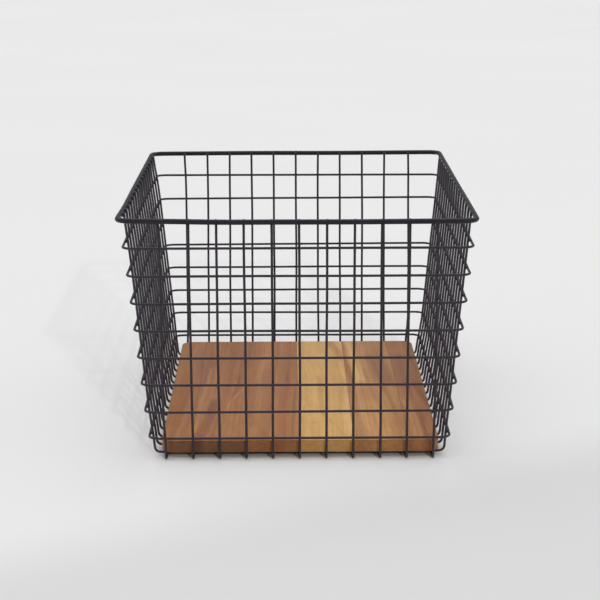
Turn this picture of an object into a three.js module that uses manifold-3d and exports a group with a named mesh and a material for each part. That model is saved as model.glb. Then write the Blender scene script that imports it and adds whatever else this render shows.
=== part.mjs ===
// Tapered storage basket of welded wire with a loose wooden base board.
// Millimetres, +Z up, +Y away from the viewer. The origin is on the floor under the middle of the basket.
import * as THREE from 'three';
import { mergeVertices } from 'three/addons/utils/BufferGeometryUtils.js';
import Module from 'manifold-3d';

// Wire stock
const GRID_WIRE = 2.4;            // diameter of the grid wires
const RIM_WIRE = 5.0;             // diameter of the rim wire
const WELD_GAP = 0.3;             // gap left between two wires at a weld

// Grid: the lengthwise wires lie side by side across the width, the crosswise ones along the depth
const LONG_COUNT = 11;
const LONG_PITCH = 25.4;
const SIDE_INSET = 9.9;           // outermost lengthwise wire to the foot of the side wall
const CROSS_COUNT = 16;
const CROSS_PITCH = 25.9;
const END_INSET = 14.9;           // outermost crosswise wire to the foot of the end wall

// Heights of the horizontal loops, at the middle of their wire
const RING_COUNT = 8;
const FIRST_RING_HEIGHT = 22.6;
const RING_PITCH = 26.55;
const RIM_RISE = 24.9;            // top ring to the rim
const WIRE_END_RISE = 1.0;        // wall wires end this far above the middle of the rim wire

// Taper: how far each wall leans outwards from the floor to the rim
const SIDE_LEAN = 23.2;
const END_LEAN = 20.6;

// Bends, at the middle of the wire
const FOOT_BEND = 5;              // where a wall wire turns under the base
const RING_CORNER = 10.5;
const RIM_CORNER = 13;

// Base board, glued up from staves that run from front to back
const BOARD_THICKNESS = 12;
const BOARD_CORNER = 12;          // corner radius in plan
const BOARD_ROUNDOVER = 1.2;      // eased edges
const BOARD_CLEARANCE = 1.5;      // board edge to the start of the foot bends
const BOARD_SEAT_GAP = 0.3;       // board to the wires that carry it
const STAVE_COUNT = 6;
const EDGE_STAVE_WIDTH = 27.4;    // the two outermost staves, and the inner ones share the rest
const GLUE_LINE = 0.3;

// Facets
const GRID_SIDES = 8;
const RIM_SIDES = 12;
const FOOT_STEPS = 4;
const RING_CORNER_STEPS = 4;
const RIM_CORNER_STEPS = 6;
const BOARD_CORNER_STEPS = 6;
const ROUNDOVER_STEPS = 2;

// Layers and walls that follow from the driving sizes
const RIM_HEIGHT = FIRST_RING_HEIGHT + (RING_COUNT - 1) * RING_PITCH + RIM_RISE;
const SIDE_SLOPE = SIDE_LEAN / RIM_HEIGHT;
const END_SLOPE = END_LEAN / RIM_HEIGHT;
const LONG_HEIGHT = GRID_WIRE / 2;
const CROSS_HEIGHT = LONG_HEIGHT + GRID_WIRE + WELD_GAP;
const FOOT_HALF_WIDTH = (LONG_COUNT - 1) / 2 * LONG_PITCH + SIDE_INSET;
const FOOT_HALF_DEPTH = (CROSS_COUNT - 1) / 2 * CROSS_PITCH + END_INSET;
const wallHalfWidth = (height) => FOOT_HALF_WIDTH + SIDE_SLOPE * height;
const wallHalfDepth = (height) => FOOT_HALF_DEPTH + END_SLOPE * height;

// Length of floor run that a foot bend takes up, from the corner to where the wire lies flat
function bendReach(slope) {
  const turn = Math.PI / 2 - Math.atan(slope);
  return FOOT_BEND * Math.tan(turn / 2);
}

const BOARD_HALF_WIDTH = wallHalfWidth(CROSS_HEIGHT) - bendReach(SIDE_SLOPE) - BOARD_CLEARANCE;
const BOARD_HALF_DEPTH = wallHalfDepth(LONG_HEIGHT) - bendReach(END_SLOPE) - BOARD_CLEARANCE;
const BOARD_BOTTOM = CROSS_HEIGHT + GRID_WIRE / 2 + BOARD_SEAT_GAP;

// Finishes
const PALE_STAVE = 3;             // place of the one pale stave, counted from the left
const POWDER_COAT = new THREE.MeshStandardMaterial({ color: 0x2b2a2c, roughness: 0.55, metalness: 0.1 });
const DARK_WOOD = new THREE.MeshStandardMaterial({ color: 0x9a6b4a, roughness: 0.6, metalness: 0 });
const LIGHT_WOOD = new THREE.MeshStandardMaterial({ color: 0xc8a46c, roughness: 0.6, metalness: 0 });

// A curve that is sampled only at its own stations, so that every section falls on a bend's tangent point
class WireCurve extends THREE.Curve {
  constructor(stations, closed) {
    super();
    this.stations = stations;
    this.spans = closed ? stations.length : stations.length - 1;
  }

  station(u) {
    return this.stations[Math.round(u * this.spans) % this.stations.length];
  }

  getPoint(u, target = new THREE.Vector3()) {
    return target.copy(this.station(u).point);
  }

  getPointAt(u, target) {
    return this.getPoint(u, target);
  }

  getTangent(u, target = new THREE.Vector3()) {
    return target.copy(this.station(u).tangent);
  }

  getTangentAt(u, target) {
    return this.getTangent(u, target);
  }
}

// Stations round an arc that starts at the heading and turns to the left by the given angle
function arcStations(centre, radius, heading, turn, steps) {
  const stations = [];
  for (let i = 0; i <= steps; i += 1) {
    const angle = heading + turn * i / steps;
    stations.push({
      point: new THREE.Vector2(centre.x + radius * Math.sin(angle), centre.y - radius * Math.cos(angle)),
      tangent: new THREE.Vector2(Math.cos(angle), Math.sin(angle)),
    });
  }
  return stations;
}

// One wall wire in its own plane: down one wall, under the base and up the other wall
function wallWireStations(footHalf, slope, baseHeight) {
  const wallAngle = Math.PI / 2 - Math.atan(slope);
  const endHeight = RIM_HEIGHT + WIRE_END_RISE;
  const endHalf = footHalf + slope * endHeight;
  const bendHalf = footHalf + slope * baseHeight - bendReach(slope);
  const bendHeight = baseHeight + FOOT_BEND;
  const down = new THREE.Vector2(Math.cos(wallAngle), -Math.sin(wallAngle));
  const up = new THREE.Vector2(Math.cos(wallAngle), Math.sin(wallAngle));
  return [
    { point: new THREE.Vector2(-endHalf, endHeight), tangent: down },
    ...arcStations(new THREE.Vector2(-bendHalf, bendHeight), FOOT_BEND, -wallAngle, wallAngle, FOOT_STEPS),
    ...arcStations(new THREE.Vector2(bendHalf, bendHeight), FOOT_BEND, 0, wallAngle, FOOT_STEPS),
    { point: new THREE.Vector2(endHalf, endHeight), tangent: up },
  ];
}

// A section with flats on its top, bottom and sides, as far across as the wire is thick
function wireSection(diameter, sides) {
  const radius = diameter / 2 / Math.cos(Math.PI / sides);
  const points = [];
  for (let i = 0; i < sides; i += 1) {
    const angle = (i + 0.5) * 2 * Math.PI / sides;
    points.push(new THREE.Vector2(radius * Math.cos(angle), radius * Math.sin(angle)));
  }
  return new THREE.Shape(points);
}

function wallWire(name, stations) {
  const path = new WireCurve(stations, false);
  const geometry = new THREE.ExtrudeGeometry(wireSection(GRID_WIRE, GRID_SIDES), {
    steps: path.spans,
    extrudePath: path,
  });
  return namedMesh(name, geometry, POWDER_COAT);
}

// A lengthwise wire stands in a plane of constant X
function longWire(index) {
  const x = (index - (LONG_COUNT - 1) / 2) * LONG_PITCH;
  const stations = wallWireStations(FOOT_HALF_DEPTH, END_SLOPE, LONG_HEIGHT);
  return wallWire(`long_wire_${index + 1}`, stations.map(({ point, tangent }) => ({
    point: new THREE.Vector3(x, point.x, point.y),
    tangent: new THREE.Vector3(0, tangent.x, tangent.y),
  })));
}

// A crosswise wire stands in a plane of constant Y and lies on the lengthwise ones
function crossWire(index) {
  const y = (index - (CROSS_COUNT - 1) / 2) * CROSS_PITCH;
  const stations = wallWireStations(FOOT_HALF_WIDTH, SIDE_SLOPE, CROSS_HEIGHT);
  return wallWire(`cross_wire_${index + 1}`, stations.map(({ point, tangent }) => ({
    point: new THREE.Vector3(point.x, y, point.y),
    tangent: new THREE.Vector3(tangent.x, 0, tangent.y),
  })));
}

// A closed loop round the outside of the wall wires at one height
function wireLoop(name, height, diameter, corner, cornerSteps, sides) {
  const offset = (GRID_WIRE + diameter) / 2 + WELD_GAP;
  const halfWidth = wallHalfWidth(height) + offset * Math.hypot(1, SIDE_SLOPE);
  const halfDepth = wallHalfDepth(height) + offset * Math.hypot(1, END_SLOPE);
  const stations = [];
  for (const [quarter, signX, signY] of [[0, 1, -1], [1, 1, 1], [2, -1, 1], [3, -1, -1]]) {
    const centre = new THREE.Vector2(signX * (halfWidth - corner), signY * (halfDepth - corner));
    stations.push(...arcStations(centre, corner, quarter * Math.PI / 2, Math.PI / 2, cornerSteps));
  }
  const path = new WireCurve(stations.map(({ point, tangent }) => ({
    point: new THREE.Vector3(point.x, point.y, height),
    tangent: new THREE.Vector3(tangent.x, tangent.y, 0),
  })), true);
  const geometry = new THREE.TubeGeometry(path, path.spans, diameter / 2, sides, true);
  return namedMesh(name, geometry, POWDER_COAT);
}

function namedMesh(name, geometry, material) {
  const mesh = new THREE.Mesh(geometry, material);
  mesh.name = name;
  return mesh;
}

// Solids for the cuts that part the board into staves
const wasm = await Module();
wasm.setup();

function toSolid(geometry) {
  const bare = geometry.clone();
  bare.deleteAttribute('normal');
  bare.deleteAttribute('uv');
  const merged = mergeVertices(bare);
  return new wasm.Manifold(new wasm.Mesh({
    numProp: 3,
    vertProperties: new Float32Array(merged.attributes.position.array),
    triVerts: new Uint32Array(merged.index.array),
  }));
}

function toGeometry(solid) {
  const { vertProperties, triVerts } = solid.getMesh();
  const geometry = new THREE.BufferGeometry();
  geometry.setAttribute('position', new THREE.BufferAttribute(vertProperties, 3));
  geometry.setIndex(new THREE.BufferAttribute(triVerts, 1));
  geometry.computeVertexNormals();
  return geometry;
}

// The whole board: a rounded rectangle with eased edges
function boardGeometry() {
  const w = BOARD_HALF_WIDTH - BOARD_ROUNDOVER;
  const d = BOARD_HALF_DEPTH - BOARD_ROUNDOVER;
  const r = BOARD_CORNER - BOARD_ROUNDOVER;
  const outline = new THREE.Shape();
  outline.absarc(w - r, r - d, r, -Math.PI / 2, 0);
  outline.absarc(w - r, d - r, r, 0, Math.PI / 2);
  outline.absarc(r - w, d - r, r, Math.PI / 2, Math.PI);
  outline.absarc(r - w, r - d, r, Math.PI, Math.PI * 3 / 2);
  const geometry = new THREE.ExtrudeGeometry(outline, {
    depth: BOARD_THICKNESS - 2 * BOARD_ROUNDOVER,
    curveSegments: BOARD_CORNER_STEPS,
    bevelSize: BOARD_ROUNDOVER,
    bevelThickness: BOARD_ROUNDOVER,
    bevelSegments: ROUNDOVER_STEPS,
  });
  return geometry.translate(0, 0, BOARD_BOTTOM + BOARD_ROUNDOVER);
}

// The inner staves share the width that the two outermost ones leave between them
function boardStaves() {
  const board = toSolid(boardGeometry());
  const innerWidth = 2 * (BOARD_HALF_WIDTH - EDGE_STAVE_WIDTH) / (STAVE_COUNT - 2);
  const glueLine = (index) => EDGE_STAVE_WIDTH - BOARD_HALF_WIDTH + index * innerWidth;
  const overhang = BOARD_CORNER;
  const staves = [];
  for (let i = 0; i < STAVE_COUNT; i += 1) {
    const left = i === 0 ? -BOARD_HALF_WIDTH - overhang : glueLine(i - 1) + GLUE_LINE / 2;
    const right = i === STAVE_COUNT - 1 ? BOARD_HALF_WIDTH + overhang : glueLine(i) - GLUE_LINE / 2;
    const blank = new THREE.BoxGeometry(
      right - left,
      2 * (BOARD_HALF_DEPTH + overhang),
      BOARD_THICKNESS + 2 * overhang,
    );
    blank.translate((left + right) / 2, 0, BOARD_BOTTOM + BOARD_THICKNESS / 2);
    const stave = toGeometry(board.intersect(toSolid(blank)));
    staves.push(namedMesh(`board_stave_${i + 1}`, stave, i === PALE_STAVE ? LIGHT_WOOD : DARK_WOOD));
  }
  return staves;
}

const wireFrame = new THREE.Group();
wireFrame.add(wireLoop('rim_wire', RIM_HEIGHT, RIM_WIRE, RIM_CORNER, RIM_CORNER_STEPS, RIM_SIDES));
for (let i = 0; i < RING_COUNT; i += 1) {
  const name = `ring_wire_${i + 1}`;
  const height = FIRST_RING_HEIGHT + i * RING_PITCH;
  wireFrame.add(wireLoop(name, height, GRID_WIRE, RING_CORNER, RING_CORNER_STEPS, GRID_SIDES));
}
for (let i = 0; i < LONG_COUNT; i += 1) {
  wireFrame.add(longWire(i));
}
for (let i = 0; i < CROSS_COUNT; i += 1) {
  wireFrame.add(crossWire(i));
}

const baseBoard = new THREE.Group();
baseBoard.add(...boardStaves());

const basket = new THREE.Group();
basket.add(wireFrame, baseBoard);

export default basket;
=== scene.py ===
"""Looks of the welded wire basket: round coated wires, weld nuggets and an oiled, edge-glued board."""
import math
import random
from dataclasses import dataclass

import bpy
from mathutils import Matrix, Vector

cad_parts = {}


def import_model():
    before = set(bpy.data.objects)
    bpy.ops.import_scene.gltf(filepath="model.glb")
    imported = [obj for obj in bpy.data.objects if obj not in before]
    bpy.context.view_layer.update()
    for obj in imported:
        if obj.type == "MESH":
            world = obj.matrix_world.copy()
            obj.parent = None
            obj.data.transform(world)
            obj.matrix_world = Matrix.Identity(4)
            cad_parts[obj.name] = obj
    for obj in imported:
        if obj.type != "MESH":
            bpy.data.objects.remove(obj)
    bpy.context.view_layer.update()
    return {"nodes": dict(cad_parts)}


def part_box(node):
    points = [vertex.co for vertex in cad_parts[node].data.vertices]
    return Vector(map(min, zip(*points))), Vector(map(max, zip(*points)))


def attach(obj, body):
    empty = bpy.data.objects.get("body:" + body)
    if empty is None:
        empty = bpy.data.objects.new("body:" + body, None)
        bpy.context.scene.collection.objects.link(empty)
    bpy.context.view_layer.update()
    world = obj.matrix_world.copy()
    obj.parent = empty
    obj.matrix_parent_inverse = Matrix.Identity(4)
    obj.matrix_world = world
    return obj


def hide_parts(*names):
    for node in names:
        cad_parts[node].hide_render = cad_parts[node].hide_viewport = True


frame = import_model()

MM = 0.001

# Bends and small forms of the wires
FOOT_BEND = 5 * MM                # wall wire where it turns under the base
RING_CORNER = 10.5 * MM
RIM_CORNER = 13 * MM
WIRE_SIDES = 14
RIM_SIDES = 24
BEND_STEPS = 8
CORNER_STEPS = 9
STATION_STEP = 13 * MM            # usual straight run between two sections
END_EASE = 0.3                    # rounding of a wire's cut ends, as a share of its radius
BEAD_SWELL = 1.1                  # butt weld that closes a loop, against the wire's radius
BEAD_LENGTH = 2.2 * MM            # half the bead's length
BEAD_SECTIONS = (-1, -0.5, 0, 0.5, 1)       # places along the bead, as shares of that half

# Waviness of the drawn wires
WANDER = 0.22 * MM                # how far a drawn wire strays from a straight line
WANDER_WAVES = ((0.31, 1.0), (0.12, 0.5))   # wave length in metres, share of the stray
RIPPLES = 5                       # short waves round a loop
RIPPLE_SHARE = 0.6
SEED = 7

# How far the side walls stand out of true, as a welded basket's do
LEFT_FRONT_SPREAD = 1.8 * MM
RIGHT_FRONT_SPREAD = 0.5 * MM
RIGHT_REAR_SPREAD = 3.2 * MM
RIGHT_RIM_LOSS = 0.1              # share of the right wall's rear spread that is gone at the rim
LEFT_REAR_PULL = 1.1 * MM         # last wires of the left wall, inwards
PULL_START = 0.8                  # share of the depth behind which that pull sets in
WALL_BOW = 0.75 * MM              # outward bow of both side walls, seen from above
LEFT_TOP_SPREAD = 1.2 * MM        # top of the left wall, with the rim
RIM_FRONT_PULL = 1.2 * MM         # right side of the rim, inwards over the wall wires
RIM_REAR_PULL = 2.1 * MM
LEFT_FRONT_FOOT = 0.9 * MM        # feet of the side walls, outwards
RIGHT_FRONT_FOOT = 0.9 * MM
RIGHT_REAR_FOOT = 0.6 * MM
LEFT_REAR_FOOT = 0.8 * MM         # inwards
SIDE_ZONE = 0.7                   # share of the base's half width past which the spread sets in
SPREAD_RISE = 2                   # the spread is full from this many times the lowest ring's height
FOOT_RISE = 1.6                   # the shift of the feet ends at this many times that height
SIDE_TIP_RISE = 1.3 * MM          # tops of the side walls' wires above those of the front and back walls
RIM_CORNER_LIFT = 2.0 * MM        # front left corner of the rim
LIFT_REACH = 110 * MM

# Weld nuggets, as half sizes along the wires and through them
NUGGET_LENGTH = 1.55 * MM
NUGGET_DEPTH = 0.8 * MM
RIM_NUGGET = 1.6                  # size of the nuggets at the thick rim against the others
NUGGET_SEGMENTS = 12
NUGGET_RINGS = 6

# Board
BOARD_CORNER = 12 * MM
ROUNDOVER = 1.2 * MM
ROUNDOVER_STEPS = 5
GLUE_GROOVE = 0.1 * MM            # eased edge along a glue line
FACE_MARGIN = 0.5 * MM            # flat strip inside the roundover
LEFT_EDGE_GROWTH = 0.5 * MM       # how far the board's sides stand outside the solid's
RIGHT_EDGE_GROWTH = 1.7 * MM
PLAN_CORNER_STEPS = 10
SHARP_ANGLE = math.radians(40)

# Powder coat, with scales in noise cells per metre
PEEL_SCALE = 1500.0               # fine orange peel
PEEL_STRENGTH = 0.35
PEEL_DEPTH = 0.06 * MM
DRIFT_SCALE = 60.0                # slow drift of tone and sheen
DRIFT_SPAN = (0.25, 0.75)
ROUGHNESS_DRIFT = 0.14
SPECK_SCALE = 2600.0
SPECK_SPAN = (0.62, 0.72)
SPECK_SHARE = 0.5
NOISE_SPAN = (0.3, 0.7)           # range that a noise mostly covers
COAT_TINT = (0.98, 0.92, 1.0, 1.0)

# Wood, with lengths in millimetres and scales in noise cells across, along and through the board
GRAIN_WAVE = (0.014, 0.0055, 0.014)
GRAIN_BAND = (0.075, 0.0022, 0.075)
GRAIN_LINE = (0.36, 0.0065, 0.36)
GRAIN_FIBRE = (1.5, 0.035, 1.5)
GRAIN_PORE = (1.9, 0.07, 1.9)
WAVE_SHIFT = (1, 2.3, 0)          # steps through the noise from one stave to the next
STAVE_SHIFT = (3.1, 1.7, 0.9)
WAVE_SWING = 14.0                 # how far the grain sways in all
RING_WOBBLE = 9.0                 # how far a growth ring leaves its circle
LATE_SHARPNESS = 3.0
LATE_SHARE = -0.16                # effect of the dark late wood on the tone
MIDDLE_TONE = 0.55
FIBRE_SHARE = 0.75
STREAK_FADE = 32                  # length over which a streak dies out
STREAK_CORE = 0.25                # share of a streak's half width that has its full colour
BREAK_SPAN = (0.3, 0.62)          # range of the grain lines that breaks a streak up
BREAK_LEAST = 0.3
FIGURE_REACH = 200                # half the length over which the tone drifts
PORE_SPAN = (0.66, 0.74)
PORE_SHARE = 0.5
END_SPAN = (0.5, 0.95)            # how squarely a face looks along the grain
WOOD_ROUGHNESS = (0.52, 0.68)
WOOD_SHEEN = 0.22
FIBRE_RELIEF = 0.4
PORE_RELIEF = -1.0
RELIEF_STRENGTH = 0.35
RELIEF_DEPTH = 0.1 * MM

# Floor
FLOOR_HALF = 60.0
FLOOR_TONE_SCALE = 1.2
FLOOR_ROUGHNESS = 0.9
FLOOR_SHEEN = 0.1
FOREGROUND = -0.24                # painted shade: the floor is a little darker in front of here
FOREGROUND_FADE = 0.2
FOREGROUND_SLANT = -0.6           # the painted shade reaches further back on the right

# Light: levels of the surroundings, and the parts of the sky over which they grow
ROOM_LIGHT = 0.2                  # from everywhere
SIDE_LIGHT = 0.3
TOP_LIGHT = 0.5
BACK_LIGHT = 1.7                  # from high up behind
SIDE_SPAN = (0.3, 0.9)
TOP_SPAN = (0.2, 1.0)
BACK_SPAN = (0.2, 0.6)
HIGH_SPAN = (0.45, 0.75)
KEY_DIRECTION = (0.228, -0.894, 0.386)
KEY_SOFTNESS = math.radians(1.6)
KEY_STRENGTH = 0.85
OVERHEAD_DIRECTION = (-0.15, -0.35, 1.0)
OVERHEAD_SOFTNESS = math.radians(60)
OVERHEAD_STRENGTH = 0.4

# Camera, as the photograph was taken
CAMERA_PLACE = (-0.0146, -1.9464, 0.5293)
CAMERA_YAW = math.radians(0.501)
CAMERA_PITCH = math.radians(12.153)
CAMERA_ROLL = math.radians(-0.179)
CAMERA_LENS = 114.1
SENSOR_WIDTH = 36


# Sizes read from the frame

def numbered(prefix):
    """The frame's nodes whose names are the prefix and a number, in order."""
    names = [name for name in frame["nodes"] if name.startswith(prefix)]
    return sorted(names, key=lambda name: int(name[len(prefix):]))


def middle(node, axis):
    """Middle of a node's box along one axis."""
    low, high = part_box(node)
    return (low[axis] + high[axis]) / 2


class Loop:
    """A horizontal wire loop: the half width, half depth and height of its middle line."""

    def __init__(self, node, corner):
        low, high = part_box(node)
        self.radius = (high.z - low.z) / 2
        self.height = (high.z + low.z) / 2
        self.half_width = high.x - self.radius
        self.half_depth = high.y - self.radius
        self.corner = corner


RINGS = numbered("ring_wire_")
LONG_WIRES = numbered("long_wire_")
CROSS_WIRES = numbered("cross_wire_")
STAVES = numbered("board_stave_")

rim = Loop("rim_wire", RIM_CORNER)
rings = [Loop(node, RING_CORNER) for node in RINGS]
GRID_RADIUS = rings[0].radius
RING_RISE = rings[-1].height - rings[0].height
SIDE_SLOPE = (rings[-1].half_width - rings[0].half_width) / RING_RISE
END_SLOPE = (rings[-1].half_depth - rings[0].half_depth) / RING_RISE
LONG_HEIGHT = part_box(LONG_WIRES[0])[0].z + GRID_RADIUS
CROSS_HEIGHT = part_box(CROSS_WIRES[0])[0].z + GRID_RADIUS
WELD_PITCH = CROSS_HEIGHT - LONG_HEIGHT     # middle to middle of two grid wires at a weld
WIRE_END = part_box(LONG_WIRES[0])[1].z - GRID_RADIUS * math.sin(math.atan(END_SLOPE))
OUTER_LONG_WIRE = middle(LONG_WIRES[-1], 0)
GLUE_HALF = (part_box(STAVES[1])[0].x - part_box(STAVES[0])[1].x) / 2


def foot_half(ring_half, slope):
    """Half size of the wall wires' middle lines at floor level."""
    return ring_half - WELD_PITCH * math.hypot(1, slope) - slope * rings[0].height


FOOT_HALF_WIDTH = foot_half(rings[0].half_width, SIDE_SLOPE)
FOOT_HALF_DEPTH = foot_half(rings[0].half_depth, END_SLOPE)

# The wires of the end walls and of the side walls: the axis across their planes, their foot and slope
WALLS = (
    (LONG_WIRES, 0, FOOT_HALF_DEPTH, END_SLOPE),
    (CROSS_WIRES, 1, FOOT_HALF_WIDTH, SIDE_SLOPE),
)


# Mesh making

def new_piece(name, vertices, faces, material, body, slot, *nodes):
    """A smooth mesh that rides on a body and stands for the given nodes."""
    mesh = bpy.data.meshes.new(name)
    mesh.from_pydata(vertices, [], faces)
    mesh.polygons.foreach_set("use_smooth", [True] * len(mesh.polygons))
    mesh.materials.append(material)
    piece = bpy.data.objects.new(name, mesh)
    bpy.context.scene.collection.objects.link(piece)
    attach(piece, body)
    if nodes:
        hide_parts(*nodes)
    return piece


def bridge(first, second, count):
    """Quads between two rings of vertices that start at the given numbers."""
    quads = []
    for i in range(count):
        after = (i + 1) % count
        quads.append((first + i, first + after, second + after, second + i))
    return quads


def tube(stations, side, sides, closed):
    """Vertices and faces of a round wire. A station is its point, heading and radius."""
    vertices = []
    for point, heading, radius in stations:
        across = heading.cross(side).normalized()
        for i in range(sides):
            angle = 2 * math.pi * i / sides
            vertices.append(point + radius * (math.cos(angle) * side + math.sin(angle) * across))
    faces = []
    spans = len(stations) if closed else len(stations) - 1
    for i in range(spans):
        faces += bridge(i * sides, (i + 1) % len(stations) * sides, sides)
    if not closed:
        faces.append(tuple(reversed(range(sides))))
        faces.append(tuple(range(len(vertices) - sides, len(vertices))))
    return vertices, [face[::-1] for face in faces]


def straight(start, end):
    """Points from start towards end, without the end itself."""
    steps = max(1, round((end - start).length / STATION_STEP))
    return [start.lerp(end, i / steps) for i in range(steps)]


# Waviness of the wires

class Wander:
    """The slight waviness of one drawn wire, as a function of the length along it."""

    def __init__(self, draws):
        self.waves = [(length, share, draws.uniform(0, 2 * math.pi)) for length, share in WANDER_WAVES]

    def at(self, length):
        """How far the wire strays at a length along it."""
        stray = 0
        for wave, share, phase in self.waves:
            stray += share * math.sin(2 * math.pi * length / wave + phase)
        return WANDER * stray


seeded = random.Random(SEED)
strays = {node: Wander(seeded) for node in ["rim_wire", *RINGS, *LONG_WIRES, *CROSS_WIRES]}


# Distortion of the wire frame

def ramp(value, low, high):
    """A smooth rise from 0 at low to 1 at high."""
    share = min(1, max(0, (value - low) / (high - low)))
    return share * share * (3 - 2 * share)


def bow(share):
    """A parabola from 0 at either end to 1 in the middle."""
    return 4 * share * (1 - share)


def racked(spot, on_rim=False):
    """A point of the wire frame with its side wall as far out of true as the real one."""
    depth = (spot.y + FOOT_HALF_DEPTH) / (2 * FOOT_HALF_DEPTH)
    top = ramp(spot.z, rings[-1].height, rim.height)
    if spot.x < 0:
        corner = LEFT_REAR_PULL * ramp(depth, PULL_START, 1.0) * (1 - top)
        rise = ramp(spot.z, rings[-2].height, rim.height)
        spread = corner - LEFT_FRONT_SPREAD * (1 - depth) - LEFT_TOP_SPREAD * rise
        foot = LEFT_REAR_FOOT * depth - LEFT_FRONT_FOOT * (1 - depth)
    else:
        rear = RIGHT_REAR_SPREAD * (1 - RIGHT_RIM_LOSS * top)
        spread = RIGHT_FRONT_SPREAD + (rear - RIGHT_FRONT_SPREAD) * depth
        if on_rim:
            spread -= RIM_FRONT_PULL + (RIM_REAR_PULL - RIM_FRONT_PULL) * depth
        foot = RIGHT_REAR_FOOT * depth + RIGHT_FRONT_FOOT * (1 - depth)
    spread += math.copysign(WALL_BOW * bow(depth) * (1 - top), spot.x)
    side = ramp(abs(spot.x), SIDE_ZONE * FOOT_HALF_WIDTH, FOOT_HALF_WIDTH)
    height = ramp(spot.z, CROSS_HEIGHT + FOOT_BEND, SPREAD_RISE * rings[0].height)
    low = 1 - ramp(spot.z, CROSS_HEIGHT + FOOT_BEND, FOOT_RISE * rings[0].height)
    outside = ramp(abs(spot.x), OUTER_LONG_WIRE, FOOT_HALF_WIDTH - FOOT_BEND)
    return spot + Vector((spread * side * height + foot * low * outside, 0, 0))


# Wall wires

def wall_wire_line(foot, slope, base_height, end_height):
    """Points and headings of a wall wire in its own plane, from one rim to the other."""
    wall = math.pi / 2 - math.atan(slope)
    reach = foot + slope * base_height - FOOT_BEND * math.tan(wall / 2)
    bend_start = Vector((reach, base_height))
    half = []
    for i in range(BEND_STEPS + 1):
        angle = wall * i / BEND_STEPS
        offset = Vector((math.sin(angle), 1 - math.cos(angle)))
        heading = Vector((math.cos(angle), math.sin(angle)))
        half.append((bend_start + FOOT_BEND * offset, heading))
    bend_end, heading = half[-1]
    top = Vector((foot + slope * end_height, end_height))
    half += [(point, heading) for point in [*straight(bend_end, top)[1:], top]]
    base = [(point, Vector((1, 0))) for point in straight(Vector((-reach, base_height)), half[0][0])]
    mirrored = [(Vector((-p.x, p.y)), Vector((h.x, -h.y))) for p, h in reversed(half)]
    return mirrored + base[1:] + half


def run_length(point, foot):
    """Signed length along a wall wire from the middle of the base, near enough for its waviness."""
    return math.copysign(foot + point.y, point.x) if abs(point.x) >= foot else point.x


def eased_ends(stations):
    """The stations with a slightly rounded cut at both ends."""
    ease = END_EASE * GRID_RADIUS
    first, first_heading, radius = stations[0]
    last, last_heading, _ = stations[-1]
    head = [(first, first_heading, radius - ease), (first + first_heading * ease, first_heading, radius)]
    tail = [(last - last_heading * ease, last_heading, radius), (last, last_heading, radius - ease)]
    return head + stations[1:-1] + tail


def wall_wire(node, foot, slope, base_height, axis, wander, material):
    """A wall wire that stands in the plane across the given axis."""
    place = middle(node, axis)
    side = Vector((1, 0, 0)) if axis == 0 else Vector((0, 1, 0))
    along = 1 - axis
    end_height = WIRE_END + SIDE_TIP_RISE * axis
    stations = []
    for point, heading in wall_wire_line(foot, slope, base_height, end_height):
        spot = Vector((0, 0, point.y))
        spot[axis] = place + wander.at(run_length(point, foot))
        spot[along] = point.x
        direction = Vector((0, 0, heading.y))
        direction[along] = heading.x
        stations.append((racked(spot), direction, GRID_RADIUS))
    vertices, faces = tube(eased_ends(stations), side, WIRE_SIDES, False)
    if axis == 1:
        faces = [face[::-1] for face in faces]
    return new_piece(node + "_coated", vertices, faces, material, "wire_frame", "grid", node)


# Loops

def loop_wander(loop, wander, point):
    """Rise of a loop's wire at a point, closing on itself round the loop."""
    angle = math.atan2(point.y / loop.half_depth, point.x / loop.half_width)
    around = wander.at(0) * math.cos(angle) + wander.at(1) * math.sin(2 * angle)
    rise = around + RIPPLE_SHARE * wander.at(2) * math.cos(RIPPLES * angle)
    if loop is rim:
        corner = Vector((-loop.half_width, -loop.half_depth))
        rise += RIM_CORNER_LIFT * ramp((point.xy - corner).length, LIFT_REACH, 0)
    return rise


def loop_line(loop):
    """Points and headings round a loop, seen from above, from the front right corner on."""
    centre_x = loop.half_width - loop.corner
    centre_y = loop.half_depth - loop.corner
    corners = ((1, -1), (1, 1), (-1, 1), (-1, -1))
    stations = []
    for quarter, (sign_x, sign_y) in enumerate(corners):
        centre = Vector((sign_x * centre_x, sign_y * centre_y, 0))
        for i in range(CORNER_STEPS + 1):
            angle = (quarter + i / CORNER_STEPS) * math.pi / 2
            offset = Vector((math.sin(angle), -math.cos(angle), 0))
            heading = Vector((math.cos(angle), math.sin(angle), 0))
            stations.append((centre + loop.corner * offset, heading))
    line = []
    for i, (point, heading) in enumerate(stations):
        line.append((point, heading))
        following = stations[(i + 1) % len(stations)][0]
        if (following - point).length > 2 * STATION_STEP:
            line += [(spot, heading) for spot in straight(point, following)[1:]]
    return line


def wire_loop(node, loop, wander, sides, material, slot):
    """A closed loop with the bead of its butt weld near the middle of the back."""
    on_rim = loop is rim
    half_step = STATION_STEP / 2
    stations = []
    for point, heading in loop_line(loop):
        spot = point + Vector((0, 0, loop.height + loop_wander(loop, wander, point)))
        stations.append((racked(spot, on_rim), heading, loop.radius))
        if heading.x < 0 and abs(point.x - half_step) < half_step:
            for share in BEAD_SECTIONS:
                swell = 1 + (BEAD_SWELL - 1) * math.cos(share * math.pi / 2)
                shifted = spot + heading * (half_step + share * BEAD_LENGTH)
                stations.append((racked(shifted, on_rim), heading, loop.radius * swell))
    vertices, faces = tube(stations, Vector((0, 0, 1)), sides, True)
    return new_piece(node + "_coated", vertices, faces, material, "wire_frame", slot, node)


# Welds

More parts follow.
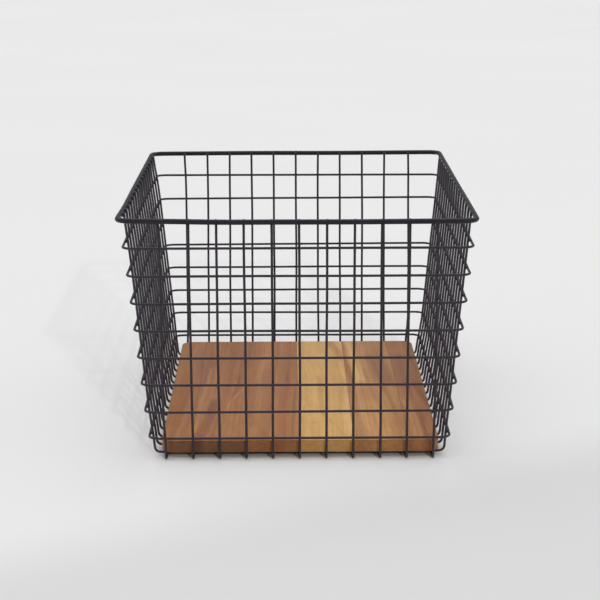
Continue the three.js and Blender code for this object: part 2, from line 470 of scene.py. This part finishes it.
def nugget(centre, first, second, normal, size, vertices, faces):
    """Adds a flattened ball at a weld, with its axes along the two wires and through them."""
    start = len(vertices)
    length = size * NUGGET_LENGTH
    depth = size * NUGGET_DEPTH
    for ring in range(1, NUGGET_RINGS):
        tilt = math.pi * ring / NUGGET_RINGS
        for i in range(NUGGET_SEGMENTS):
            angle = 2 * math.pi * i / NUGGET_SEGMENTS
            flat = length * math.sin(tilt) * (math.cos(angle) * first + math.sin(angle) * second)
            vertices.append(centre + flat + depth * math.cos(tilt) * normal)
    top = len(vertices)
    vertices += [centre + depth * normal, centre - depth * normal]
    last = start + (NUGGET_RINGS - 2) * NUGGET_SEGMENTS
    for ring in range(NUGGET_RINGS - 2):
        low = start + ring * NUGGET_SEGMENTS
        faces += [face[::-1] for face in bridge(low, low + NUGGET_SEGMENTS, NUGGET_SEGMENTS)]
    for i in range(NUGGET_SEGMENTS):
        after = (i + 1) % NUGGET_SEGMENTS
        faces.append((top, start + i, start + after))
        faces.append((top + 1, last + after, last + i))


def wall_weld(loop, loop_stray, node, axis, foot, slope, outward, vertices, faces):
    """Adds the nugget where a loop crosses one upright of a wall wire."""
    reach = loop.radius if loop is rim else WELD_PITCH / 2
    size = RIM_NUGGET if loop is rim else 1
    normal = Vector((0, 0, 0 if loop is rim else -slope))
    normal[1 - axis] = outward
    normal.normalize()
    spot = Vector((0, 0, loop.height))
    spot[1 - axis] = outward * (loop.half_width if axis else loop.half_depth)
    spot[axis] = middle(node, axis) + strays[node].at(outward * (foot + loop.height))
    spot.z += loop_wander(loop, loop_stray, spot)
    level = Vector((1, 0, 0)) if axis == 0 else Vector((0, 1, 0))
    centre = racked(spot - normal * reach)
    nugget(centre, level, normal.cross(level), normal, size, vertices, faces)


def wall_welds(name, loops, slot, material):
    """Nuggets where the loops cross the wall wires on all four walls."""
    vertices, faces = [], []
    for loop, loop_stray in loops:
        for nodes, axis, foot, slope in WALLS:
            for node in nodes:
                for outward in (-1, 1):
                    wall_weld(loop, loop_stray, node, axis, foot, slope, outward, vertices, faces)
    return new_piece(name, vertices, faces, material, "wire_frame", slot)


def base_welds(name, material):
    """Nuggets where the crosswise wires lie on the lengthwise ones."""
    vertices, faces = [], []
    height = (LONG_HEIGHT + CROSS_HEIGHT) / 2
    for cross in CROSS_WIRES:
        for long in LONG_WIRES:
            x, y = middle(long, 0), middle(cross, 1)
            spot = Vector((x + strays[long].at(y), y + strays[cross].at(x), height))
            nugget(spot, Vector((1, 0, 0)), Vector((0, 1, 0)), Vector((0, 0, 1)), 1, vertices, faces)
    return new_piece(name, vertices, faces, material, "wire_frame", "grid")


# Board

def plan_outline(left, right, half_depth, left_corner, right_corner):
    """Outline of a stave seen from above. A corner radius of zero is a square corner."""
    corners = (
        (right, -1, right_corner, 0),
        (right, 1, right_corner, 1),
        (left, 1, left_corner, 2),
        (left, -1, left_corner, 3),
    )
    points = []
    for x, sign_y, radius, quarter in corners:
        if not radius:
            points.append((x, sign_y * half_depth))
            continue
        inward = -1 if x == right else 1
        centre_x = x + inward * radius
        centre_y = sign_y * (half_depth - radius)
        for i in range(PLAN_CORNER_STEPS + 1):
            angle = (quarter + i / PLAN_CORNER_STEPS) * math.pi / 2
            points.append((centre_x + radius * math.sin(angle), centre_y - radius * math.cos(angle)))
    return points


def edge_levels(thickness):
    """How far the stave's outline is set in and how high it lies, from the underside to the top."""
    levels = [(ROUNDOVER + FACE_MARGIN, 0.0)]
    for i in range(ROUNDOVER_STEPS + 1):
        angle = math.pi / 2 * i / ROUNDOVER_STEPS
        levels.append((ROUNDOVER * (1 - math.sin(angle)), ROUNDOVER * (1 - math.cos(angle))))
    return levels + [(inset, thickness - rise) for inset, rise in reversed(levels)]


def stave(node, material, slot):
    """One stave of the board: rounded over on its free edges and barely eased along its glue lines."""
    low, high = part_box(node)
    first, last = node == STAVES[0], node == STAVES[-1]
    levels = edge_levels(high.z - low.z)
    vertices, faces = [], []
    count = 0
    for inset, rise in levels:
        eased = inset * GLUE_GROOVE / ROUNDOVER
        left = low.x - LEFT_EDGE_GROWTH + inset if first else low.x - GLUE_HALF + eased
        right = high.x + RIGHT_EDGE_GROWTH - inset if last else high.x + GLUE_HALF - eased
        corner = BOARD_CORNER - inset
        outline = plan_outline(left, right, high.y - inset, corner if first else 0, corner if last else 0)
        count = len(outline)
        vertices += [(x, y, low.z + rise) for x, y in outline]
    for i in range(len(levels) - 1):
        faces += bridge(i * count, (i + 1) * count, count)
    faces.append(tuple(reversed(range(count))))
    faces.append(tuple(range(len(vertices) - count, len(vertices))))
    piece = new_piece(node + "_wood", vertices, faces, material, "base_board", slot, node)
    piece.data.set_sharp_from_angle(angle=SHARP_ANGLE)
    return piece


# Colours

def linear(red, green, blue):
    """A colour given in 8-bit sRGB as linear values, by the sRGB standard's formula."""
    channels = []
    for value in (red, green, blue):
        share = value / 255
        channels.append(share / 12.92 if share <= 0.04045 else ((share + 0.055) / 1.055) ** 2.4)
    return (*channels, 1.0)


COAT, COAT_PALE, COAT_SPECK = linear(29, 25, 33), linear(38, 34, 42), linear(44, 42, 45)
BROWN, BROWN_DEEP = linear(184, 134, 94), linear(134, 86, 58)
HONEY, HONEY_DEEP = linear(224, 186, 128), linear(186, 140, 86)
TAN, TAN_DEEP = linear(204, 158, 108), linear(140, 94, 64)
RED_BROWN, RED_BROWN_DEEP = linear(186, 134, 94), linear(126, 80, 56)
PLUM = linear(120, 76, 64)
MAUVE = linear(136, 94, 78)
RUSSET = linear(158, 102, 62)
STRAW = linear(208, 160, 112)
UMBER = linear(112, 70, 46)
PORE = linear(150, 120, 100)
# Painted light on the board: lighter and warmer at the front, painted shade in the middle, painted sheen
# towards the back
FRONT_PAINTED_LIGHT = (1.06, 1.01, 0.84, 1.0)
MIDDLE_PAINTED_SHADE = (0.93, 0.9, 0.82, 1.0)
BACK_PAINTED_SHEEN = (0.98, 0.95, 0.94, 1.0)
END_DARK = linear(178, 176, 183)
END_MID = linear(213, 202, 199)
PAPER, PAPER_PALE, PAPER_SHADED = linear(230, 230, 230), linear(235, 235, 235), linear(217, 217, 217)
WHITE = (1.0, 1.0, 1.0, 1.0)


# Node trees

class Nodes:
    """A small writer for one node tree."""

    def __init__(self, tree):
        self.tree = tree

    def add(self, kind, links=None, **settings):
        made = self.tree.nodes.new(kind)
        for key, value in settings.items():
            setattr(made, key, value)
        for socket, source in (links or {}).items():
            self.put(made.inputs[socket], source)
        return made

    def put(self, socket, source):
        """Links a node's first output or a named socket, or sets a plain value."""
        if isinstance(source, bpy.types.Node):
            source = source.outputs[0]
        if isinstance(source, bpy.types.NodeSocket):
            self.tree.links.new(source, socket)
        else:
            socket.default_value = source

    def math(self, operation, first, second=0.0, third=0.0):
        return self.add("ShaderNodeMath", {0: first, 1: second, 2: third}, operation=operation)

    def place(self, kind="Object"):
        return self.add("ShaderNodeTexCoord").outputs[kind]

    def split(self, source):
        """The X, Y and Z of a vector, by name."""
        return self.add("ShaderNodeSeparateXYZ", {0: source}).outputs

    def stretched(self, source, scale, location=(0, 0, 0)):
        return self.add("ShaderNodeMapping", {"Vector": source, "Scale": scale, "Location": location})

    def noise(self, source, scale, detail=3.0, roughness=0.55):
        inputs = {"Vector": source, "Scale": scale, "Detail": detail, "Roughness": roughness}
        return self.add("ShaderNodeTexNoise", inputs).outputs["Fac"]

    def span(self, source, low, high, to_low, to_high):
        return self.add("ShaderNodeMapRange", {0: source, 1: low, 2: high, 3: to_low, 4: to_high})

    def smooth(self, source, low, high, to_low, to_high):
        made = self.span(source, low, high, to_low, to_high)
        made.interpolation_type = "SMOOTHSTEP"
        return made

    def mix(self, share, first, second, blend="MIX"):
        made = self.add("ShaderNodeMix", data_type="RGBA", blend_type=blend)
        self.put(made.inputs["Factor"], share)
        self.put(made.inputs[6], first)
        self.put(made.inputs[7], second)
        return made.outputs[2]


class Surface(Nodes):
    """A new material's node tree with its main shader."""

    def __init__(self, name):
        self.material = bpy.data.materials.new(name)
        self.material.use_nodes = True
        super().__init__(self.material.node_tree)
        self.shader = self.tree.nodes["Principled BSDF"]

    def give(self, name, source):
        """Links or sets one of the shader's inputs."""
        self.put(self.shader.inputs[name], source)

    def bump(self, height, strength, distance):
        made = self.add("ShaderNodeBump", {"Height": height, "Strength": strength, "Distance": distance})
        self.give("Normal", made)


# Materials

def powder_coat(name, low_roughness, sheen):
    """Satin charcoal coating with a fine orange peel and a slightly uneven sheen."""
    nodes = Surface(name)
    place = nodes.place()
    peel = nodes.noise(place, PEEL_SCALE, detail=2.0)
    drift = nodes.noise(place, DRIFT_SCALE, detail=4.0)
    shade = nodes.mix(nodes.span(drift, *NOISE_SPAN, 0.0, 1.0), COAT, COAT_PALE)
    speck = nodes.span(nodes.noise(place, SPECK_SCALE, detail=1.0), *SPECK_SPAN, 0.0, SPECK_SHARE)
    high_roughness = low_roughness + ROUGHNESS_DRIFT
    nodes.give("Base Color", nodes.mix(speck, shade, COAT_SPECK))
    nodes.give("Roughness", nodes.span(drift, *DRIFT_SPAN, low_roughness, high_roughness))
    nodes.give("Specular IOR Level", sheen)
    nodes.give("Specular Tint", COAT_TINT)
    nodes.bump(peel, PEEL_STRENGTH, PEEL_DEPTH)
    return nodes.material


@dataclass
class Streak:
    """A stripe of other colour in the grain, in millimetres, from its back end (x, y) to its front end."""
    colour: tuple
    share: float
    half_width: float
    back: tuple
    front: tuple


@dataclass
class Look:
    """How one stave looks: its slot, colours, grain direction, pith line, streaks and figure."""
    slot: str
    pale: tuple
    deep: tuple
    end_tint: tuple
    tilt: float
    pith: tuple
    streaks: tuple
    band_share: float = 1.0
    line_share: float = 0.85
    ring_width: float = 7.0


def streaked(nodes, colour, streak, across, along, breakup):
    """The colour with one streak laid over it."""
    back_x, back_y = streak.back
    front_x, front_y = streak.front
    travel = nodes.span(along, front_y, back_y, 0.0, 1.0)
    centre = nodes.math("MULTIPLY_ADD", travel, back_x - front_x, front_x)
    offset = nodes.math("ABSOLUTE", nodes.math("SUBTRACT", across, centre))
    body = nodes.smooth(offset, STREAK_CORE * streak.half_width, streak.half_width, 1.0, 0.0)
    start = nodes.smooth(along, front_y - STREAK_FADE, front_y, 0.0, streak.share)
    end = nodes.smooth(along, back_y, back_y + STREAK_FADE, 1.0, 0.0)
    begun = nodes.math("MULTIPLY", body, start)
    ended = nodes.math("MULTIPLY", end, breakup)
    return nodes.mix(nodes.math("MULTIPLY", begun, ended), colour, streak.colour)


def wood(name, look, seed):
    """Oiled acacia with its grain along Y: bands, fibres, open pores, streaks and darker end grain."""
    nodes = Surface(name)
    place = nodes.stretched(nodes.place(), (1 / MM, 1 / MM, 1 / MM))
    split = nodes.split(place)
    along = split["Y"]
    wave_shift = tuple(seed * step for step in WAVE_SHIFT)
    shift = tuple(seed * step for step in STAVE_SHIFT)
    wave = nodes.noise(nodes.stretched(place, GRAIN_WAVE, wave_shift), 1.0, detail=2.0)
    lean = nodes.math("MULTIPLY_ADD", along, -look.tilt, split["X"])
    across = nodes.math("MULTIPLY_ADD", wave, WAVE_SWING, nodes.math("SUBTRACT", lean, WAVE_SWING / 2))
    grain = nodes.add("ShaderNodeCombineXYZ", {0: across, 1: along, 2: split["Z"]})
    band = nodes.noise(nodes.stretched(grain, GRAIN_BAND, shift), 1.0)
    line = nodes.noise(nodes.stretched(grain, GRAIN_LINE, shift), 1.0, detail=4.0, roughness=0.6)
    fibre = nodes.noise(nodes.stretched(grain, GRAIN_FIBRE, shift), 1.0, roughness=0.6)

    # Growth rings round a pith line under the board show as arcs on the end grain
    pith_x, pith_z = look.pith
    depth = nodes.math("SUBTRACT", split["Z"], pith_z)
    reach = nodes.math("SUBTRACT", across, pith_x)
    square = nodes.math("MULTIPLY_ADD", reach, reach, nodes.math("MULTIPLY", depth, depth))
    radius = nodes.math("MULTIPLY_ADD", band, RING_WOBBLE, nodes.math("SQRT", square))
    year = nodes.math("FRACT", nodes.math("MULTIPLY", radius, 1 / look.ring_width))
    late = nodes.math("POWER", year, LATE_SHARPNESS)

    # Tone from 0, the deep colour, to 1, the pale one
    tone = nodes.math("MULTIPLY_ADD", nodes.math("SUBTRACT", band, 0.5), look.band_share, MIDDLE_TONE)
    tone = nodes.math("MULTIPLY_ADD", nodes.math("SUBTRACT", line, 0.5), look.line_share, tone)
    tone = nodes.math("MULTIPLY_ADD", nodes.math("SUBTRACT", fibre, 0.5), FIBRE_SHARE, tone)
    tone = nodes.math("MULTIPLY_ADD", late, LATE_SHARE, tone)
    colour = nodes.mix(nodes.span(tone, 0.0, 1.0, 0.0, 1.0), look.deep, look.pale)
    breakup = nodes.span(line, *BREAK_SPAN, BREAK_LEAST, 1.0)
    for streak in look.streaks:
        colour = streaked(nodes, colour, streak, across, along, breakup)

    # Painted light along the board: a painted front light makes the wood lighter and warmer towards the
    # front end, painted shade darker in the middle and a painted sheen greyer towards the back
    front_half = nodes.smooth(along, -FIGURE_REACH, 0.0, 0.0, 1.0)
    back_half = nodes.smooth(along, 0.0, FIGURE_REACH, 0.0, 1.0)
    tint = nodes.mix(back_half, nodes.mix(front_half, FRONT_PAINTED_LIGHT, MIDDLE_PAINTED_SHADE), BACK_PAINTED_SHEEN)
    colour = nodes.mix(1.0, colour, tint, blend="MULTIPLY")

    # Pores are short dark dashes along the grain
    pore = nodes.noise(nodes.stretched(grain, GRAIN_PORE, shift), 1.0, detail=1.0)
    pores = nodes.span(pore, *PORE_SPAN, 0.0, 1.0)
    colour = nodes.mix(nodes.math("MULTIPLY", pores, PORE_SHARE), colour, PORE, blend="MULTIPLY")

    # The cut ends drink more oil, and so are darker
    facing = nodes.split(nodes.add("ShaderNodeNewGeometry").outputs["Normal"])
    end = nodes.span(nodes.math("ABSOLUTE", facing["Y"]), *END_SPAN, 0.0, 1.0)
    nodes.give("Base Color", nodes.mix(end, colour, look.end_tint, blend="MULTIPLY"))
    nodes.give("Roughness", nodes.span(fibre, *NOISE_SPAN, *WOOD_ROUGHNESS))
    nodes.give("Specular IOR Level", WOOD_SHEEN)
    relief = nodes.math("MULTIPLY_ADD", fibre, FIBRE_RELIEF, nodes.math("MULTIPLY", pores, PORE_RELIEF))
    nodes.bump(relief, RELIEF_STRENGTH, RELIEF_DEPTH)
    return nodes.material


STAVE_LOOKS = (
    Look("wood_brown", BROWN, BROWN_DEEP, END_DARK, 0.02, (-150, -40), (
        Streak(RUSSET, 0.5, 8, (-118, 40), (-121, -150)),
        Streak(MAUVE, 0.5, 10, (-106, 150), (-108, 60)),
    )),
    Look("wood_brown", BROWN, BROWN_DEEP, END_DARK, 0.03, (-30, -55), (
        Streak(MAUVE, 0.6, 12, (-98, 120), (-101, 20)),
        Streak(STRAW, 0.35, 3.5, (-97, 60), (-98, -190)),
        Streak(PLUM, 0.95, 8, (-83, -70), (-91, -200)),
        Streak(STRAW, 0.3, 3, (-57, -5), (-69, -80)),
        Streak(MAUVE, 0.5, 9, (-72, 200), (-74, 110)),
    )),
    Look("wood_brown", BROWN, BROWN_DEEP, END_MID, 0.03, (-60, -45), (
        Streak(RUSSET, 0.5, 9, (-12, 0), (-14, -200)),
        Streak(STRAW, 0.25, 5, (-40, 130), (-43, 40)),
        Streak(MAUVE, 0.3, 9, (-33, 60), (-36, 0)),
        Streak(UMBER, 0.5, 1.4, (-2.0, -30), (-2.5, -160)),
    )),
    Look("wood_honey", HONEY, HONEY_DEEP, END_MID, 0.0, (20, -80), (
        Streak(RUSSET, 0.65, 7, (37, 200), (49, 130)),
        Streak(TAN_DEEP, 0.3, 4, (23, 20), (22, -110)),
        Streak(TAN_DEEP, 0.25, 5, (46, 20), (44, -60)),
    ), band_share=0.8, line_share=0.8),
    Look("wood_tan", TAN, TAN_DEEP, END_MID, -0.025, (130, -60), (
        Streak(HONEY, 0.75, 9, (65, 190), (66, 30)),
        Streak(RUSSET, 0.65, 5, (54, 110), (58, 10)),
        Streak(MAUVE, 0.75, 17, (90, 120), (94, 20)),
        Streak(RUSSET, 0.5, 2.5, (88, 20), (97, -190)),
        Streak(TAN_DEEP, 0.45, 3, (74, 60), (78, -60)),
        Streak(STRAW, 0.5, 15, (70, -80), (74, -200)),
    )),
    Look("wood_brown", RED_BROWN, RED_BROWN_DEEP, END_MID, -0.025, (70, -45), (
        Streak(MAUVE, 0.7, 17, (114, 120), (118, 10)),
        Streak(UMBER, 0.6, 4, (125, 0), (130, -70)),
        Streak(UMBER, 0.55, 3, (116, -115), (120, -190)),
        Streak(STRAW, 0.35, 7, (109, -60), (110, -200)),
    )),
)


# Making of the object

coat = powder_coat("powder_coat", 0.4, 0.5)
# Lit copy of the coat: the crosswise wires get a glossier copy of the same powder coat so that the side
# walls render lighter
lit_side_coat = powder_coat("lit_side_powder_coat", 0.4, 0.7)
rim_coat = powder_coat("rim_powder_coat", 0.22, 0.24)
wire_loop("rim_wire", rim, strays["rim_wire"], RIM_SIDES, rim_coat, "rim")
for ring_node, ring in zip(RINGS, rings):
    wire_loop(ring_node, ring, strays[ring_node], WIRE_SIDES, coat, "grid")
for wire_node in LONG_WIRES:
    wall_wire(wire_node, FOOT_HALF_DEPTH, END_SLOPE, LONG_HEIGHT, 0, strays[wire_node], coat)
for wire_node in CROSS_WIRES:
    wall_wire(wire_node, FOOT_HALF_WIDTH, SIDE_SLOPE, CROSS_HEIGHT, 1, strays[wire_node], lit_side_coat)
wall_welds("rim_welds", [(rim, strays["rim_wire"])], "rim", rim_coat)
wall_welds("ring_welds", [(ring, strays[node]) for node, ring in zip(RINGS, rings)], "grid", coat)
base_welds("base_welds", coat)
for number, (stave_node, look) in enumerate(zip(STAVES, STAVE_LOOKS), start=1):
    stave(stave_node, wood(f"acacia_{number}", look, number), look.slot)


# Stage, light and camera

def stage_floor():
    """A wide pale floor with a faintly uneven tone and a painted shade that darkens it a little in front.
    """
    mesh = bpy.data.meshes.new("floor")
    signs = ((-1, -1), (1, -1), (1, 1), (-1, 1))
    corners = [(sign_x * FLOOR_HALF, sign_y * FLOOR_HALF, 0) for sign_x, sign_y in signs]
    mesh.from_pydata(corners, [], [(0, 1, 2, 3)])
    floor = bpy.data.objects.new("floor", mesh)
    bpy.context.scene.collection.objects.link(floor)
    nodes = Surface("floor_paper")
    place = nodes.place()
    split = nodes.split(place)
    paper = nodes.mix(nodes.noise(place, FLOOR_TONE_SCALE, detail=2.0), PAPER, PAPER_PALE)
    # Painted shade: the floor grows darker towards the front, sooner on the right
    ahead = nodes.math("MULTIPLY_ADD", split["X"], FOREGROUND_SLANT, split["Y"])
    shaded = nodes.smooth(ahead, FOREGROUND - FOREGROUND_FADE, FOREGROUND, 1.0, 0.0)
    nodes.give("Base Color", nodes.mix(shaded, paper, PAPER_SHADED))
    nodes.give("Roughness", FLOOR_ROUGHNESS)
    nodes.give("Specular IOR Level", FLOOR_SHEEN)
    mesh.materials.append(nodes.material)


def sun(name, direction, softness, strength, mirrored):
    """A far lamp in the given direction, seen from the object. It may be kept out of reflections."""
    light = bpy.data.lights.new(name, "SUN")
    light.angle = softness
    light.energy = strength
    lamp = bpy.data.objects.new(name, light)
    lamp.rotation_euler = Vector(direction).to_track_quat("Z", "Y").to_euler()
    lamp.visible_glossy = mirrored
    bpy.context.scene.collection.objects.link(lamp)


def camera():
    """The photograph's own view."""
    data = bpy.data.cameras.new("camera")
    data.lens = CAMERA_LENS
    data.sensor_width = SENSOR_WIDTH
    eye = bpy.data.objects.new("camera", data)
    turn = Matrix.Rotation(-CAMERA_YAW, 4, "Z") @ Matrix.Rotation(math.pi / 2 - CAMERA_PITCH, 4, "X")
    eye.matrix_world = Matrix.Translation(CAMERA_PLACE) @ turn @ Matrix.Rotation(CAMERA_ROLL, 4, "Z")
    bpy.context.scene.collection.objects.link(eye)
    bpy.context.scene.camera = eye


def world():
    """Pale light from above, from high up behind and from both sides, and a dim room elsewhere."""
    surroundings = bpy.data.worlds.new("studio")
    surroundings.use_nodes = True
    nodes = Nodes(surroundings.node_tree)
    direction = nodes.split(nodes.place("Generated"))
    side = nodes.smooth(nodes.math("ABSOLUTE", direction["X"]), *SIDE_SPAN, 0.0, SIDE_LIGHT)
    top = nodes.smooth(direction["Z"], *TOP_SPAN, 0.0, TOP_LIGHT)
    behind = nodes.smooth(direction["Y"], *BACK_SPAN, 0.0, BACK_LIGHT)
    high = nodes.smooth(direction["Z"], *HIGH_SPAN, 0.0, 1.0)
    back = nodes.math("MULTIPLY_ADD", behind, high, ROOM_LIGHT)
    background = nodes.tree.nodes["Background"]
    nodes.put(background.inputs["Color"], WHITE)
    nodes.put(background.inputs["Strength"], nodes.math("ADD", nodes.math("ADD", side, top), back))
    bpy.context.scene.world = surroundings


stage_floor()
camera()
world()
sun("key", KEY_DIRECTION, KEY_SOFTNESS, KEY_STRENGTH, False)
sun("overhead", OVERHEAD_DIRECTION, OVERHEAD_SOFTNESS, OVERHEAD_STRENGTH, True)
bpy.context.scene.view_settings.view_transform = "Standard"
